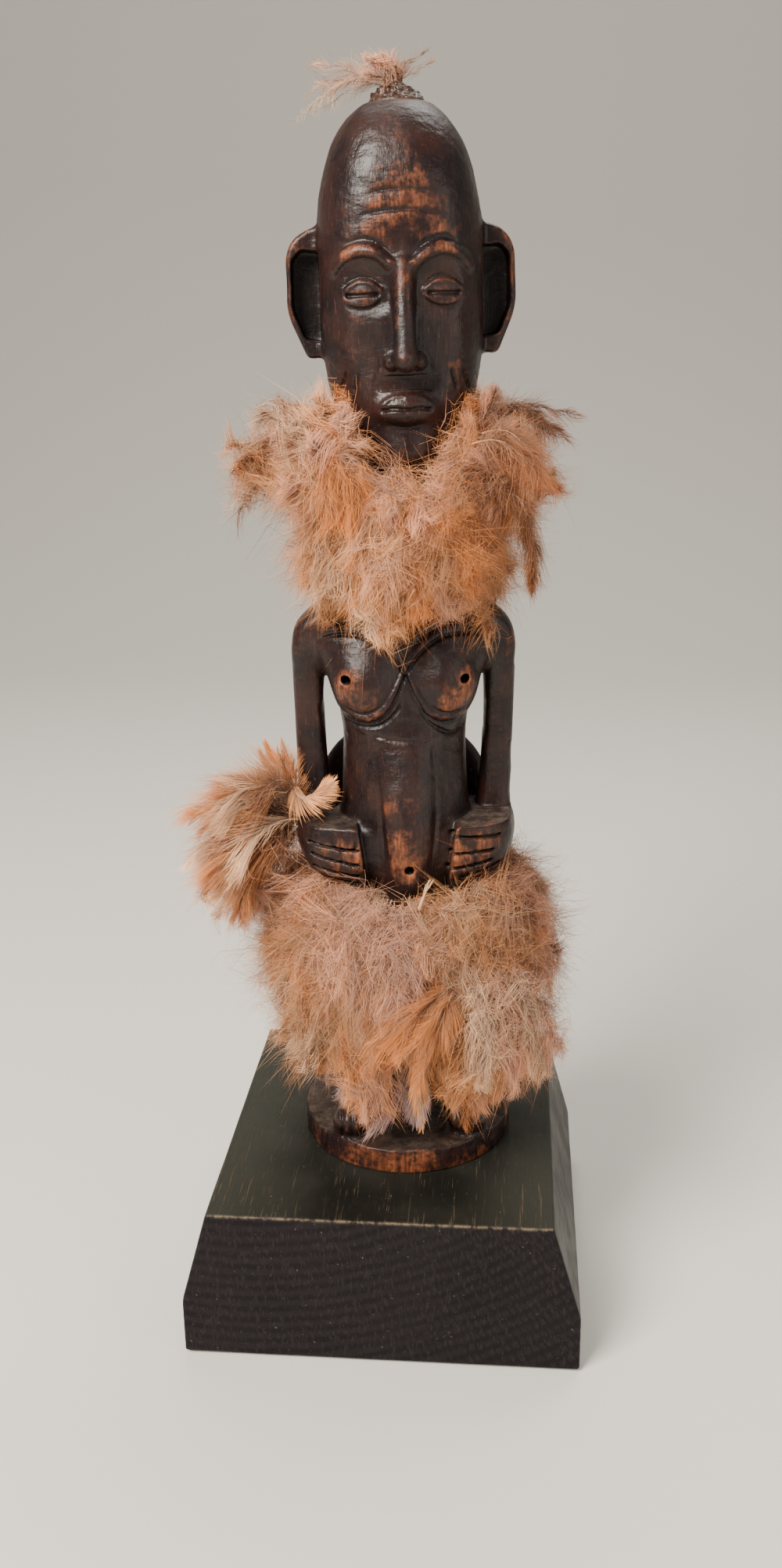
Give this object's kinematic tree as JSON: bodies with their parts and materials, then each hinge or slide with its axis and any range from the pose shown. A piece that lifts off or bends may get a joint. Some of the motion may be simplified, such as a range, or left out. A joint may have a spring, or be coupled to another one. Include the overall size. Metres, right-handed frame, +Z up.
{
  "type": "carved ancestor figure",
  "caption": "Dark carved wooden ancestor figure with projecting ears and hands on its belly, dressed with bound feather tufts, on a bevelled black plinth.",
  "frame": {"origin": "centre of the underside of the felt, where the plinth rests", "axes": "+Z up along the figure, the face looks along -Y, +X is to the viewer's right"},
  "size_m": [0.1379, 0.13, 0.4083],
  "materials": {
    "carved_wood": "dark stain worn to copper brown on the edges, waxed",
    "stained_wood": "black stain over open grain, satin",
    "felt": "pressed felt",
    "screw_steel": "yellow zinc plating",
    "resin": "crusty brown resin with pale specks",
    "thread": "twisted natural thread",
    "down_feather": "soft pinkish tan down",
    "hackle_feather": "glossy orange brown hackle feathers"
  },
  "bodies": {
    "root": {"base_felt": "felt", "plinth": "stained_wood", "plinth_screws": "screw_steel", "carved_figure": "carved_wood", "crown_resin": "resin", "crown_tuft": "down_feather", "neck_cord": "thread", "neck_tuft_1": "down_feather", "neck_tuft_2": "down_feather", "neck_tuft_3": "down_feather", "neck_tuft_4": "down_feather", "neck_tuft_5": "down_feather", "neck_tuft_6": "down_feather", "neck_tuft_7": "down_feather", "neck_tuft_8": "down_feather", "waist_cord": "thread", "waist_tuft_1": "down_feather", "waist_tuft_2": "down_feather", "waist_tuft_3": "down_feather", "waist_tuft_4": "down_feather", "waist_tuft_5": "down_feather", "waist_tuft_6": "down_feather", "waist_tuft_7": "down_feather", "waist_tuft_8": "down_feather", "waist_tuft_9": "down_feather", "waist_tuft_10": "down_feather", "waist_tuft_11": "down_feather", "waist_tuft_12": "down_feather", "arm_cord": "thread", "arm_tuft": "hackle_feather"}
  },
  "joints": []
}
